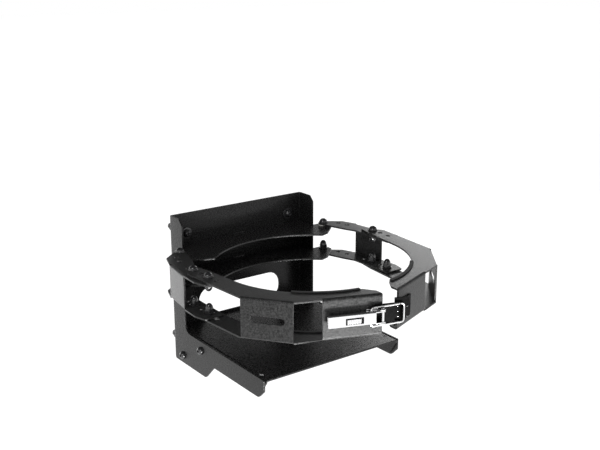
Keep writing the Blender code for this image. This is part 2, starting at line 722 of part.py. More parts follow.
def make_lock_button(finish):
    """A sliding catch with a ribbed thumb face, under the lever's face."""
    start, end, low, high = button_window()
    roof = LEVER_TOP - LATCH_SHEET
    top = LEVER_TOP - 0.0002
    ribs = []
    first, last, count = start + GAP, end - BUTTON_TRAVEL - GAP, 6
    pitch = (last - first) / count
    for i in range(count):
        left = first + i * pitch
        ribs += [(left, top), (left + 0.62 * pitch, top), (left + 0.70 * pitch, top - 0.0008),
                 (left + 0.94 * pitch, top - 0.0008)]
    ribs[-1] = (last, top - 0.0008)
    shape = [(first, roof - 0.0025), *ribs, (last, roof - 0.0025)]
    button = latch_prism("lock_button", shape, low + GAP, high - GAP, finish)
    flange = [(start - 0.004, roof - GAP - 0.0022), (start - 0.004, roof - GAP),
              (end + 0.0005, roof - GAP), (end + 0.0005, roof - GAP - 0.0022)]
    wide = latch_prism("button_flange_guide", flange, low - 0.0008, high + 0.0030)
    cut(button, wide, "UNION")
    return button


def make_pivot_pin(finish):
    """Riveted pin through the base's ears and the lever."""
    reach = LEVER_HALF + GAP + 0.0002 + LATCH_SHEET
    x, y = latch_point(*LATCH_PIVOT)
    head = PIN_RADIUS + 0.0009
    profile = [(0, reach + 0.0010), (head * 0.7, reach + 0.0010), (head, reach + GAP)]
    profile += [(PIN_RADIUS, reach + GAP), (PIN_RADIUS, -reach - GAP), (head, -reach - GAP),
                (head * 0.7, -reach - 0.0010), (0, -reach - 0.0010)]
    pin = spun("latch_pin", profile, 12, finish)
    pin.location = (x, y, RING_MID)
    return pin


def make_bail(finish):
    """A wire loop: two ends turned into the lever, two long sides and the bar that catches."""
    half = LEVER_HALF + GAP + 0.0002 + LATCH_SHEET + GAP + BAIL_WIRE + 0.0012
    inner = LEVER_HALF - LATCH_SHEET - 0.0010
    corner = 0.004
    route = [(0.0, -inner), (0.0, -half + corner)]
    route += [(corner - corner * cos(a), -half + corner - corner * sin(a))
              for a in (radians(30), radians(60), radians(90))]
    du, dw = BAIL_BAR[0] - BAIL_PIVOT[0], BAIL_BAR[1] - BAIL_PIVOT[1]
    length = hypot(du, dw)
    route += [(length - corner + corner * sin(a), -half + corner - corner * cos(a))
              for a in (0, radians(30), radians(60), radians(90))]
    route += [(s, -z) for s, z in reversed(route)]
    slope = atan2(dw, du)
    rings = []
    for i, (run, z) in enumerate(route):
        before, after = route[max(i - 1, 0)], route[min(i + 1, len(route) - 1)]
        along = Vector((after[0] - before[0], after[1] - before[1])).normalized()
        ring = []
        for k in range(8):
            sideways, out = BAIL_WIRE * cos(k * pi / 4), BAIL_WIRE * sin(k * pi / 4)
            reach, rise = run + along.y * sideways, z - along.x * sideways
            x, y = latch_point(BAIL_PIVOT[0] + reach * cos(slope) - out * sin(slope),
                               BAIL_PIVOT[1] + reach * sin(slope) + out * cos(slope))
            ring.append((x, y, RING_MID + rise))
        rings.append(ring)
    return smooth(loft("latch_bail", rings, finish), 50)


def keeper_outline():
    """Plan of the keeper in the left panel's frame: a foot on the right panel, then a straight lip."""
    lip_right = BAIL_BAR[0] - BAIL_WIRE - GAP
    lip_left = lip_right - 0.0022
    lip_top = BAIL_BAR[1] + 0.0045
    fold = 2 * FRONT_SLOPE
    end_u = FRONT_LENGTH + 2 * ARM_END_X * cos(FRONT_SLOPE)
    end_w = -2 * ARM_END_X * sin(FRONT_SLOPE)

    def on_panel(down, out):
        """down from the right panel's end towards its corner, and out from its face"""
        return (end_u + down * cos(fold) + out * sin(fold), end_w - down * sin(fold) + out * cos(fold))

    thick = 0.0022
    foot = 0.038
    inner = on_panel(0.0030, GAP)
    rise = (lip_left - end_u - GAP * sin(fold)) / cos(fold)
    elbow = on_panel(rise, GAP)
    shoulder_down = rise + 0.0012
    shoulder = on_panel(shoulder_down, GAP + thick)
    join = (lip_right, shoulder[1] + 0.0010)
    return [elbow, inner, on_panel(foot, GAP), on_panel(foot, GAP + thick), shoulder, join,
            (lip_right, lip_top), (lip_left, lip_top)]


def make_keeper(finish):
    lip_half = 0.0090
    foot_half = 0.0150
    keeper = latch_prism("latch_keeper", keeper_outline(), -foot_half, foot_half, finish)
    waist = BAIL_BAR[1] - 0.006
    near, far = BAIL_BAR[0] - 0.020, BAIL_BAR[0] + 0.015
    over = [(near, waist), (far, waist), (far, 0.02), (near, 0.02)]
    for number, (low, high) in enumerate(((-0.03, -lip_half), (lip_half, 0.03))):
        cut(keeper, latch_prism(f"keeper_trim_guide_{number}", over, low, high))
    return keeper


def main():
    clear_scene()
    steel = paint("black_powder_coat", (0.020, 0.020, 0.021), 0.38, 0.1)
    black = paint("black_screws", (0.012, 0.012, 0.013), 0.28, 0.6)
    bright = paint("bright_steel", (0.72, 0.72, 0.73), 0.22, 1.0)
    rubber = paint("edge_rubber", (0.010, 0.010, 0.010), 0.75, 0.0)
    nylon = paint("nylon", (0.70, 0.70, 0.68), 0.5, 0.0)

    make_back_frame(steel)
    make_shelf(steel)
    for name, low in zip(("yoke_plate_lower", "yoke_plate_upper"), yoke_lows()):
        make_yoke_plate(name, low, steel)
    for side, label, clamp_holes in ((-1, "left", CLAMP_HOLES), (1, "right", CLAMP_HOLES[:3])):
        make_link(f"{label}_link", side, steel)
        make_arm(f"{label}_arm", side, clamp_holes, steel)
        make_trim(f"{label}_trim_upper", side, RING_MID + ARM_HEIGHT / 2 - SHEET, rubber)
        make_trim(f"{label}_trim_lower", side, RING_MID - ARM_HEIGHT / 2, rubber)

    nut = cap_nut("nut_pattern", black)
    patterns = [nut]
    patterns += make_wall_fixings(black, nut)
    patterns += make_shelf_screws(black)
    patterns += make_hinges(black, nylon, nut)
    patterns += make_clamps(black, nut)
    for pattern in patterns:
        bpy.data.objects.remove(pattern, do_unlink=True)

    make_latch_base(bright)
    make_lever(bright)
    make_lock_button(bright)
    make_pivot_pin(bright)
    make_bail(bright)
    make_keeper(black)


main()
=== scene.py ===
import math

import bmesh
import bpy
from mathutils import Matrix, Vector


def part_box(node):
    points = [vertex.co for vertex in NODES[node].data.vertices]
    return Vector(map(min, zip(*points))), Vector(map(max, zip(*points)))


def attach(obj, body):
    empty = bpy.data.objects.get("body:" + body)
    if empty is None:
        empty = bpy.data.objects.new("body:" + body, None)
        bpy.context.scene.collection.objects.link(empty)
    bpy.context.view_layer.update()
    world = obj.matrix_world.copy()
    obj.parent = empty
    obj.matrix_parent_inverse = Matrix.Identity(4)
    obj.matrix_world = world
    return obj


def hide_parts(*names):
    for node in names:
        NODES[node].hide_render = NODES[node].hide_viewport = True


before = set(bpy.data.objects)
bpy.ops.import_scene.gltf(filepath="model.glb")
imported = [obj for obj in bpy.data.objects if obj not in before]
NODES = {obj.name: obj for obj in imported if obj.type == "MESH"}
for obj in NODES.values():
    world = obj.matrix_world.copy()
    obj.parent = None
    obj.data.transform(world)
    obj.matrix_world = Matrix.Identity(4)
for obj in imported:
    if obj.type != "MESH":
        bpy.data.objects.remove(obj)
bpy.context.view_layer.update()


# Camera: placed where the photograph was taken from, with the same lens and tilt.
CAMERA_AT = Vector((-0.8831, -1.3965, 0.4738))
CAMERA_LOOK = Vector((0.5676, 0.7745, -0.2792))
CAMERA_ROLL = -0.15
CAMERA_LENS = 56.5

camera_data = bpy.data.cameras.new("camera")
camera_data.sensor_width = 36.0
camera_data.lens = CAMERA_LENS
camera_data.clip_start = 0.05
camera = bpy.data.objects.new("camera", camera_data)
bpy.context.scene.collection.objects.link(camera)
camera.matrix_world = (Matrix.Translation(CAMERA_AT) @ CAMERA_LOOK.to_track_quat("-Z", "Y").to_matrix().to_4x4()
                       @ Matrix.Rotation(math.radians(CAMERA_ROLL), 4, "Z"))
bpy.context.scene.camera = camera


# Floor and light: a white floor well below the bracket, a plain white sky, and three soft boxes: low in front
# for the left arm's panel, low behind for the left link, and high on the right for the right arm's flange.
# A grey ceiling, seen only in gloss, keeps the upper faces dark, and a small lamp puts glints on the screws.
FLOOR_Z = -0.62
FLOOR_HALF = 15
FLOOR_WHITE = 0.93
FLOOR_GLOW = 0.22
SKY_LIGHT = 0.85
CEILING_Z = 1.25
CEILING_HALF = 3.9
CEILING_GLOW = 0.05


def seen_directly(tree):
    """1 for camera, glossy and transmission rays, and 0 for the rays that only light the bracket."""
    path = tree.nodes.new("ShaderNodeLightPath")
    total = path.outputs["Is Camera Ray"]
    for name in ("Is Glossy Ray", "Is Transmission Ray"):
        either = tree.nodes.new("ShaderNodeMath")
        either.operation = "MAXIMUM"
        tree.links.new(total, either.inputs[0])
        tree.links.new(path.outputs[name], either.inputs[1])
        total = either.outputs[0]
    return total


def times_and_plus(tree, value, factor, plus):
    step = tree.nodes.new("ShaderNodeMath")
    step.operation = "MULTIPLY_ADD"
    tree.links.new(value, step.inputs[0])
    step.inputs[1].default_value = factor
    step.inputs[2].default_value = plus
    return step.outputs[0]


def soft_box(name, at, towards, width, height, watts):
    data = bpy.data.lights.new(name, "AREA")
    data.shape = "RECTANGLE"
    data.size, data.size_y, data.energy = width, height, watts
    lamp = bpy.data.objects.new(name, data)
    bpy.context.scene.collection.objects.link(lamp)
    aim = Vector(towards) - Vector(at)
    lamp.matrix_world = Matrix.Translation(at) @ aim.to_track_quat("-Z", "Y").to_matrix().to_4x4()
    lamp.visible_camera = False


world = bpy.data.worlds.new("studio")
world.use_nodes = True
sky = world.node_tree.nodes["Background"]
sky.inputs["Color"].default_value = (1, 1, 1, 1)
world.node_tree.links.new(times_and_plus(world.node_tree, seen_directly(world.node_tree), 1 - SKY_LIGHT, SKY_LIGHT),
                          sky.inputs["Strength"])
bpy.context.scene.world = world
bpy.context.scene.view_settings.view_transform = "Standard"

white_floor = bpy.data.materials.new("white floor")
white_floor.use_nodes = True
floor_shader = white_floor.node_tree.nodes["Principled BSDF"]
floor_shader.inputs["Base Color"].default_value = (FLOOR_WHITE, FLOOR_WHITE, FLOOR_WHITE, 1)
floor_shader.inputs["Roughness"].default_value = 0.9
floor_shader.inputs["Emission Color"].default_value = (1, 1, 1, 1)
floor_glow = times_and_plus(white_floor.node_tree, seen_directly(white_floor.node_tree), FLOOR_GLOW, 0)
white_floor.node_tree.links.new(floor_glow, floor_shader.inputs["Emission Strength"])
floor_mesh = bmesh.new()
bmesh.ops.create_grid(floor_mesh, x_segments=1, y_segments=1, size=FLOOR_HALF,
                      matrix=Matrix.Translation((0, 0, FLOOR_Z)))
floor_data = bpy.data.meshes.new("floor")
floor_mesh.to_mesh(floor_data)
floor_mesh.free()
floor_data.materials.append(white_floor)
floor = bpy.data.objects.new("floor", floor_data)
bpy.context.scene.collection.objects.link(floor)

grey_ceiling = bpy.data.materials.new("grey ceiling")
grey_ceiling.use_nodes = True
ceiling_shader = grey_ceiling.node_tree.nodes["Principled BSDF"]
ceiling_shader.inputs["Base Color"].default_value = (0.0, 0.0, 0.0, 1)
ceiling_shader.inputs["Roughness"].default_value = 1.0
ceiling_shader.inputs["Emission Color"].default_value = (1, 1, 1, 1)
ceiling_shader.inputs["Emission Strength"].default_value = CEILING_GLOW
ceiling_mesh = bmesh.new()
bmesh.ops.create_grid(ceiling_mesh, x_segments=1, y_segments=1, size=CEILING_HALF,
                      matrix=Matrix.Translation((0, 0, CEILING_Z)))
ceiling_data = bpy.data.meshes.new("ceiling")
ceiling_mesh.to_mesh(ceiling_data)
ceiling_mesh.free()
ceiling_data.materials.append(grey_ceiling)
ceiling = bpy.data.objects.new("ceiling", ceiling_data)
bpy.context.scene.collection.objects.link(ceiling)
ceiling.visible_camera = ceiling.visible_diffuse = ceiling.visible_shadow = ceiling.visible_transmission = False

soft_box("front soft box", (-0.14, -0.98, -0.53), (-0.08, -0.40, -0.06), 0.66, 0.11, 15.0)
soft_box("rear soft box", (-0.33, 0.96, -0.36), (-0.20, -0.13, -0.04), 0.22, 0.46, 1.25)
soft_box("right soft box", (2.2, 1.5, 0.62), (0.15, -0.30, 0.0), 0.9, 0.6, 8.0)
soft_box("glint lamp", (-1.1, -0.9, 1.0), (0, -0.2, 0), 0.16, 0.16, 6.0)


# Back frame: a web and two cheeks folded from one 3 mm steel sheet, with a long lip under the shelf on each
# side. It is laser cut, so its edges are crisp, and coated with a fine-texture black powder.
EDGE = 0.0004


def noise(tree, scale, detail, rough=0.55):
    """Noise on Object coordinates, with its features about 1 / scale metres across."""
    place = tree.nodes.new("ShaderNodeTexCoord")
    texture = tree.nodes.new("ShaderNodeTexNoise")
    texture.inputs["Scale"].default_value = scale
    texture.inputs["Detail"].default_value = detail
    texture.inputs["Roughness"].default_value = rough
    tree.links.new(place.outputs["Object"], texture.inputs["Vector"])
    return texture.outputs["Fac"]


def spread(tree, value, low, high, out_low, out_high):
    """Stretch low..high of a noise to out_low..out_high."""
    span = tree.nodes.new("ShaderNodeMapRange")
    tree.links.new(value, span.inputs["Value"])
    for name, number in (("From Min", low), ("From Max", high), ("To Min", out_low), ("To Max", out_high)):
        span.inputs[name].default_value = number
    return span.outputs["Result"]


def tinted(tree, value, dark, light):
    ramp = tree.nodes.new("ShaderNodeValToRGB")
    ramp.color_ramp.elements[0].position = 0.30
    ramp.color_ramp.elements[0].color = (*dark, 1)
    ramp.color_ramp.elements[1].position = 0.70
    ramp.color_ramp.elements[1].color = (*light, 1)
    tree.links.new(value, ramp.inputs["Fac"])
    return ramp.outputs["Color"]


def bumped(tree, value, distance, strength, onto=None):
    bump = tree.nodes.new("ShaderNodeBump")
    bump.inputs["Distance"].default_value = distance
    bump.inputs["Strength"].default_value = strength
    tree.links.new(value, bump.inputs["Height"])
    if onto:
        tree.links.new(onto, bump.inputs["Normal"])
    return bump.outputs["Normal"]


def powder_coat(name, grain, gloss, index):
    """Pimples over a slow orange peel. Grain, 0 to 1, is how coarse the powder is, and gloss a roughness."""
    material = bpy.data.materials.new(name)
    material.use_nodes = True
    tree = material.node_tree
    shader = tree.nodes["Principled BSDF"]
    shader.inputs["IOR"].default_value = index
    pimples, peel = noise(tree, 380, 2, 0.6), noise(tree, 90, 3)
    dark, light = 0.004 - 0.003 * grain, 0.008 + 0.026 * grain
    tree.links.new(tinted(tree, pimples, (dark, dark, dark), (light, light, light)), shader.inputs["Base Color"])
    tree.links.new(spread(tree, pimples, 0.3, 0.7, gloss - 0.06, gloss + 0.06), shader.inputs["Roughness"])
    normal = bumped(tree, peel, 0.0004, 0.10)
    tree.links.new(bumped(tree, pimples, 0.0004, 0.15 + 0.6 * grain, normal), shader.inputs["Normal"])
    return material


def even_normals(mesh, limit):
    """Corner normals that keep a flat face flat and turn only over its folds and broken edges."""
    faces_at = [[] for _ in mesh.vertices]
    for face in mesh.polygons:
        for corner in face.vertices:
            faces_at[corner].append(face)
    least = math.cos(math.radians(limit))
    normals = []
    for face in mesh.polygons:
        own = face.normal
        for corner in face.vertices:
            total = Vector()
            for other in faces_at[corner]:
                if other.normal.dot(own) > least:
                    total += other.normal * other.area
            normals.append(total.normalized() if total.length > 0 else own)
    mesh.shade_smooth()
    mesh.normals_split_custom_set(normals)


def add_piece(name, bm, material, body, slot, *nodes, limit=38):
    """Finish a bmesh as a piece that rides on a body, and takes the place of the named nodes."""
    mesh = bpy.data.meshes.new(name)
    bm.to_mesh(mesh)
    bm.free()
    mesh.materials.append(material)
    even_normals(mesh, limit)
    piece = bpy.data.objects.new(name, mesh)
    bpy.context.scene.collection.objects.link(piece)
    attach(piece, body)
    if nodes:
        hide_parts(*nodes)
    return piece


def sharp_edges(bm, least=35):
    return [edge for edge in bm.edges if edge.is_manifold and edge.calc_face_angle(0) > math.radians(least)]


def break_edges(bm, edges, width, segments=2):
    bmesh.ops.bevel(bm, geom=edges, offset=width, offset_type="OFFSET", segments=segments, profile=0.5,
                    affect="EDGES", material=-1, clamp_overlap=False)


def merged_copy(node):
    """A node's loose triangles as one clean shell with its flat faces whole."""
    bm = bmesh.new()
    bm.from_mesh(NODES[node].data)
    bmesh.ops.remove_doubles(bm, verts=bm.verts, dist=0.00002)
    bmesh.ops.dissolve_limit(bm, angle_limit=math.radians(0.5), verts=bm.verts, edges=bm.edges)
    return bm


def coated_sheet(node, body, coat):
    bm = merged_copy(node)
    break_edges(bm, sharp_edges(bm), EDGE)
    return add_piece(node + "_coated", bm, coat, body, "painted_steel", node)


SMOOTH_POWDER = powder_coat("smooth black powder coat", 0.25, 0.26, 1.33)
coated_sheet("back_frame", "wall_frame", SMOOTH_POWDER)


# Shelf: a second folded sheet between the cheeks, its sides turned down inside the lips, with a pressed-in
# nut behind each side screw and a square drain hole by each front corner.
coated_sheet("shelf", "wall_frame", SMOOTH_POWDER)


# Yoke: two flat 3 mm plates tabbed through the web and hollowed to the cylinder's round. Their ears stand
# out past the cheeks and carry the hinge screws.
coated_sheet("yoke_plate_lower", "wall_frame", SMOOTH_POWDER)
coated_sheet("yoke_plate_upper", "wall_frame", SMOOTH_POWDER)


# Links and arms: folded channels with two flanges. Each link swings on the yoke and each arm is clamped over
# its link. The arms end in front panels that carry the latch and its keeper. Their powder is coarser.
GRAINY_POWDER = powder_coat("grainy black powder coat", 1.0, 0.36, 1.36)
for side in ("left", "right"):
    coated_sheet(f"{side}_link", f"{side}_side", GRAINY_POWDER)
    coated_sheet(f"{side}_arm", f"{side}_side", GRAINY_POWDER)


# Rubber edging: a push-on U section on the hollow edge of each arm's flanges, so that the steel doesn't mark
# the cylinder.
RING_Y = -0.2247
EDGING = {"inner": 0.1590, "outer": 0.1655, "throat": 0.1617, "lip": 0.0014}
EDGING_SPAN = (-79, -42)


def soft_rubber():
    material = bpy.data.materials.new("black edge rubber")
    material.use_nodes = True
    tree = material.node_tree
    shader = tree.nodes["Principled BSDF"]
    grain, bloom = noise(tree, 1400, 2), noise(tree, 45, 4)
    tree.links.new(tinted(tree, bloom, (0.008, 0.008, 0.008), (0.016, 0.016, 0.016)), shader.inputs["Base Color"])
    tree.links.new(spread(tree, bloom, 0.3, 0.7, 0.60, 0.78), shader.inputs["Roughness"])
    tree.links.new(bumped(tree, grain, 0.0001, 0.3), shader.inputs["Normal"])
    return material


def edging_strip(node, side):
    low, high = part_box(node)[0].z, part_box(node)[1].z
    lip = EDGING["lip"]
    section = [(EDGING["inner"], low), (EDGING["outer"], low), (EDGING["outer"], low + lip),
               (EDGING["throat"], low + lip), (EDGING["throat"], high - lip), (EDGING["outer"], high - lip),
               (EDGING["outer"], high), (EDGING["inner"], high)]
    start, end = EDGING_SPAN if side > 0 else (180 - EDGING_SPAN[0], 180 - EDGING_SPAN[1])
    turn = Matrix.Rotation(math.radians(start), 3, "Z")
    bm = bmesh.new()
    corners = [bm.verts.new(turn @ Vector((r, 0, z)) + Vector((0, RING_Y, 0))) for r, z in section]
    edges = [bm.edges.new((corners[i - 1], corner)) for i, corner in enumerate(corners)]
    bmesh.ops.spin(bm, geom=corners + edges, cent=(0, RING_Y, 0), axis=(0, 0, 1),
                   angle=math.radians(end - start), steps=30, use_merge=False)
    bmesh.ops.holes_fill(bm, edges=[edge for edge in bm.edges if edge.is_boundary], sides=0)
    bmesh.ops.recalc_face_normals(bm, faces=bm.faces)
    break_edges(bm, sharp_edges(bm, 60), 0.00045, 3)
    add_piece(node + "_strip", bm, RUBBER, f"{'left' if side < 0 else 'right'}_side", "edge_rubber", node)


RUBBER = soft_rubber()
for label, side in (("left", -1), ("right", 1)):
    for row in ("upper", "lower"):
        edging_strip(f"{label}_trim_{row}", side)


# Wall bolts: long M8 button heads with a hexagon socket, a flat washer under each in front of the web, and a
# cap nut on its far end. Turned and cold headed steel, black plated and glossy.
SOCKET_FLATS = 0.0050
SOCKET_RIM = 0.0031
SOCKET_DEPTH = 0.0027
HEAD_RADIUS = 0.0070
SHANK_RADIUS = 0.0040
THREAD_ROOT = 0.0034
THREAD_CORE = 0.0033
THREAD_STEPS = 18
PITCH = 0.00125
NUT_FLATS = 0.0130
FLANGE_RADIUS = 0.0081
NUT_BORE = 0.0043


def black_plating():
    material = bpy.data.materials.new("black plated steel")
    material.use_nodes = True
    tree = material.node_tree
    shader = tree.nodes["Principled BSDF"]
    cloud, grain = noise(tree, 260, 4), noise(tree, 2600, 2)
    tree.links.new(tinted(tree, cloud, (0.008, 0.008, 0.009), (0.018, 0.018, 0.019)), shader.inputs["Base Color"])
    tree.links.new(spread(tree, cloud, 0.3, 0.7, 0.16, 0.26), shader.inputs["Roughness"])
    tree.links.new(bumped(tree, grain, 0.00003, 0.25), shader.inputs["Normal"])
    shader.inputs["IOR"].default_value = 1.8
    return material


def turned(profile, steps=36):
    """A profile of (radius, height) points turned about +Z."""
    bm = bmesh.new()
    corners = [bm.verts.new((r, 0, z)) for r, z in profile]
    edges = [bm.edges.new(pair) for pair in zip(corners, corners[1:])]
    bmesh.ops.spin(bm, geom=corners + edges, cent=(0, 0, 0), axis=(0, 0, 1), angle=2 * math.pi, steps=steps,
                   use_merge=True)
    bmesh.ops.remove_doubles(bm, verts=bm.verts, dist=0.000002)
    return bm


def draw_on(bm, edges, shape):
    """Extrude a ring of edges, let shape move the new ring, and return its edges."""
    grown = bmesh.ops.extrude_edge_only(bm, edges=edges)["geom"]
    corners = [item for item in grown if isinstance(item, bmesh.types.BMVert)]
    for corner in corners:
        shape(corner)
    ring = set(corners)
    return [item for item in grown if isinstance(item, bmesh.types.BMEdge) and set(item.verts) <= ring]


def hexagon(flats, height, chamfer=0.0):
    """Move a point of a round ring out or in to a hexagon at a height, lower at its corners by the chamfer."""
    def shape(corner):
        angle = math.atan2(corner.co.y, corner.co.x) % (math.pi / 3) - math.pi / 6
        radius = flats / 2 / math.cos(angle)
        corner.co.xy = corner.co.xy.normalized() * radius
        corner.co.z = height - (radius - flats / 2) * chamfer
    return shape


def round_ring(radius, height):
    def shape(corner):
        corner.co.xy = corner.co.xy.normalized() * radius
        corner.co.z = height
    return shape


def lowered(depth):
    def shape(corner):
        corner.co.z -= depth
    return shape


def ring_at(bm, radius, height):
    """The open edges of a turned shell that lie on one ring."""
    return [edge for edge in bm.edges if edge.is_boundary and all(
        abs(corner.co.xy.length - radius) < 1e-5 and abs(corner.co.z - height) < 1e-5 for corner in edge.verts)]


def close_ring(bm, edges):
    bmesh.ops.edgeloop_fill(bm, edges=edges)


def button_head(base, height, flange=None):
    """A domed head with a socket, standing on z = 0, with or without a washer rolled under it."""
    dome = [(HEAD_RADIUS * math.cos(a), base + 0.0006 + (height - 0.0006) * math.sin(a))
            for a in (math.radians(deg) for deg in (0, 12, 24, 36, 48, 58))]
    rim = (SOCKET_RIM, dome[-1][1] + 0.00012)
    foot = [(HEAD_RADIUS, base)]
    if flange:
        foot += [(flange - 0.0003, base), (flange, base - 0.0004), (flange, 0.0003), (flange - 0.0003, 0)]
    else:
        foot += [(HEAD_RADIUS, 0.0)]
    bm = turned([rim, *reversed(dome), *foot, (SHANK_RADIUS, 0.0)])
    ring = draw_on(bm, ring_at(bm, *rim), hexagon(SOCKET_FLATS, rim[1] - 0.00025))
    ring = draw_on(bm, ring, lowered(SOCKET_DEPTH))
    close_ring(bm, ring)
    return bm


def add_shank(bm, plain, length, threaded=True):
    """A plain neck under the head, and below it a helical thread."""
    neck = draw_on(bm, ring_at(bm, SHANK_RADIUS, 0.0), round_ring(SHANK_RADIUS, -plain))
    if not threaded:
        close_ring(bm, neck)
        return bm
    close_ring(bm, draw_on(bm, neck, round_ring(THREAD_CORE, -plain - 0.0004)))
    turns = int((length - plain) / PITCH)
    tooth = [(THREAD_ROOT, 0.0), (SHANK_RADIUS, -0.00045), (SHANK_RADIUS, -0.00080), (THREAD_ROOT, -PITCH)]
    corners = [bm.verts.new((r, 0, z - plain)) for r, z in tooth]
    edges = [bm.edges.new(pair) for pair in zip(corners, corners[1:])]
    bmesh.ops.spin(bm, geom=corners + edges, cent=(0, 0, 0), axis=(0, 0, 1), angle=2 * math.pi * turns,
                   steps=THREAD_STEPS * turns, dvec=(0, 0, -PITCH / THREAD_STEPS), use_merge=False)
    bmesh.ops.remove_doubles(bm, verts=bm.verts, dist=0.000004)
    return bm


def cap_nut():
    """A domed hexagon nut on a round flange, standing on z = 0, with a blind bore."""
    body, dome, dome_radius, bore_depth = 0.0081, 0.0084, 0.0062, 0.0110
    profile = [(dome_radius * math.cos(a), body + dome * math.sin(a))
               for a in (math.radians(deg) for deg in (0, 8, 18, 30, 42, 54, 66, 78))] + [(0.0, body + dome)]
    bm = turned(profile)
    ring = ring_at(bm, dome_radius, body)
    for shape in (round_ring(0.00635, body), hexagon(NUT_FLATS, body - 0.0001, 0.58), hexagon(NUT_FLATS, 0.0018),
                  round_ring(0.0078, 0.0016), round_ring(FLANGE_RADIUS, 0.0013), round_ring(FLANGE_RADIUS, 0.0002),
                  round_ring(0.0079, 0.0), round_ring(NUT_BORE, 0.0), round_ring(NUT_BORE, bore_depth)):
        ring = draw_on(bm, ring, shape)
    close_ring(bm, ring)
    return bm


def flat_washer(inner, outer, thickness, soft):
    """A pressed ring with its edges rounded over."""
    profile = [(inner, soft), (inner + soft, 0), (outer - soft, 0), (outer, soft), (outer, thickness - soft),
               (outer - soft, thickness), (inner + soft, thickness), (inner, thickness - soft), (inner, soft)]
    return turned(profile)


def stand(bm, at, axis):
    """Turn a shell's +Z to an axis and set it in place."""
    bmesh.ops.recalc_face_normals(bm, faces=bm.faces)
    turn = Vector((0, 0, 1)).rotation_difference(Vector(axis)).to_matrix().to_4x4()
    bmesh.ops.transform(bm, matrix=Matrix.Translation(at) @ turn, verts=bm.verts)
    return bm


def seat(node, axis):
    """The middle of a node's lower end along an axis, where its +Z half starts."""
    low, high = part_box(node)
    middle = (low + high) / 2
    axis = Vector(axis)
    reach = abs((high - low).dot(axis)) / 2
    return middle - axis * reach


def fastener(node, bm, at, axis, body):
    add_piece(node + "_plated", stand(bm, at, axis), PLATED, body, "black_screws", node)


PLATED = black_plating()
HEAD_GAP = 0.0004
WALL_HEAD = 0.0060
WALL_NECK = 0.0080
WALL_WASHER = {"inner": 0.0045, "outer": 0.0105, "thickness": 0.0016, "soft": 0.0003}
for place in ("upper_left", "upper_right", "lower_left", "lower_right"):
    bolt = f"wall_bolt_{place}"
    low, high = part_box(bolt)
    middle = (low + high) / 2
    under_head = Vector((middle.x, low.y + WALL_HEAD, middle.z))
    length = high.y - under_head.y
    fastener(bolt, add_shank(button_head(HEAD_GAP, WALL_HEAD - HEAD_GAP), WALL_NECK, length), under_head,
             (0, -1, 0), "wall_frame")
    ring = f"wall_washer_{place}"
    fastener(ring, flat_washer(**WALL_WASHER), seat(ring, (0, -1, 0)), (0, -1, 0), "wall_frame")
    nut = f"wall_nut_{place}"
    fastener(nut, cap_nut(), seat(nut, (0, 1, 0)), (0, 1, 0), "wall_frame")


# Shelf screws: two short button heads on each side go through the cheek's lip into the shelf's nuts. They are
# the wall bolts' heads on a plain shank, in the same black plated steel.
SHELF_HEAD = 0.0060
SHELF_SHANK = 0.0118
for label, side in (("left", -1), ("right", 1)):
    for place in ("rear", "front"):
        node = f"shelf_screw_{label}_{place}"
        low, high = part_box(node)
        middle = (low + high) / 2
        outer = low.x if side < 0 else high.x
        fastener(node, add_shank(button_head(HEAD_GAP, SHELF_HEAD - HEAD_GAP), SHELF_SHANK, SHELF_SHANK, False),
                 Vector((outer - side * SHELF_HEAD, middle.y, middle.z)), (side, 0, 0), "wall_frame")


# Hinges: at the top and the bottom of each link a button head on a rolled washer goes through the link, a
# nylon washer and the yoke's ear into a cap nut.
ROLLED_WASHER = 0.0016
ROLLED_HEAD = 0.0060
ROLLED_SHANK = 0.0150
NYLON_WASHER = {"inner": 0.0045, "outer": 0.0090, "thickness": 0.0015, "soft": 0.0003}


def bolted(name, head_up, body):
    """One screw and its nut on a vertical line, with the head on the outside."""
    screw, nut = name + "_screw", name + "_nut"
    axis = (0, 0, head_up)
    low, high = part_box(screw)
    middle = (low + high) / 2
    tip = high.z if head_up > 0 else low.z
    under_head = Vector((middle.x, middle.y, tip - head_up * (ROLLED_WASHER + ROLLED_HEAD)))
    head = button_head(ROLLED_WASHER, ROLLED_HEAD, FLANGE_RADIUS)
    fastener(screw, add_shank(head, ROLLED_SHANK, ROLLED_SHANK, False), under_head, axis, body)
    away = (0, 0, -head_up)
    fastener(nut, cap_nut(), seat(nut, away), away, body)


def washer_nylon():
    material = bpy.data.materials.new("natural nylon")
    material.use_nodes = True
    tree = material.node_tree
    shader = tree.nodes["Principled BSDF"]
    cloud = noise(tree, 150, 3)
    tree.links.new(tinted(tree, cloud, (0.62, 0.61, 0.57), (0.74, 0.73, 0.69)), shader.inputs["Base Color"])
    tree.links.new(spread(tree, cloud, 0.3, 0.7, 0.42, 0.55), shader.inputs["Roughness"])
    tree.links.new(bumped(tree, noise(tree, 1800, 2), 0.00004, 0.2), shader.inputs["Normal"])
    return material


NYLON = washer_nylon()
for label in ("left", "right"):
    for row, up in (("upper", 1), ("lower", -1)):
        bolted(f"{label}_hinge_{row}", up, "wall_frame")
        ring = f"{label}_hinge_{row}_washer"
        shell = stand(flat_washer(**NYLON_WASHER), seat(ring, (0, 0, up)), (0, 0, up))
        add_piece(ring + "_nylon", shell, NYLON, "wall_frame", "nylon", ring)


# Clamp screws: the same screws and cap nuts hold each arm to its link, four on the left and three on the
# right, with the nuts inside the channel.
for label, places in (("left", ("upper_rear", "upper_front", "lower_rear", "lower_front")),
                      ("right", ("upper_rear", "lower_rear", "lower_front"))):
    for place in places:
        bolted(f"{label}_clamp_{place}", 1 if place.startswith("upper") else -1, f"{label}_side")


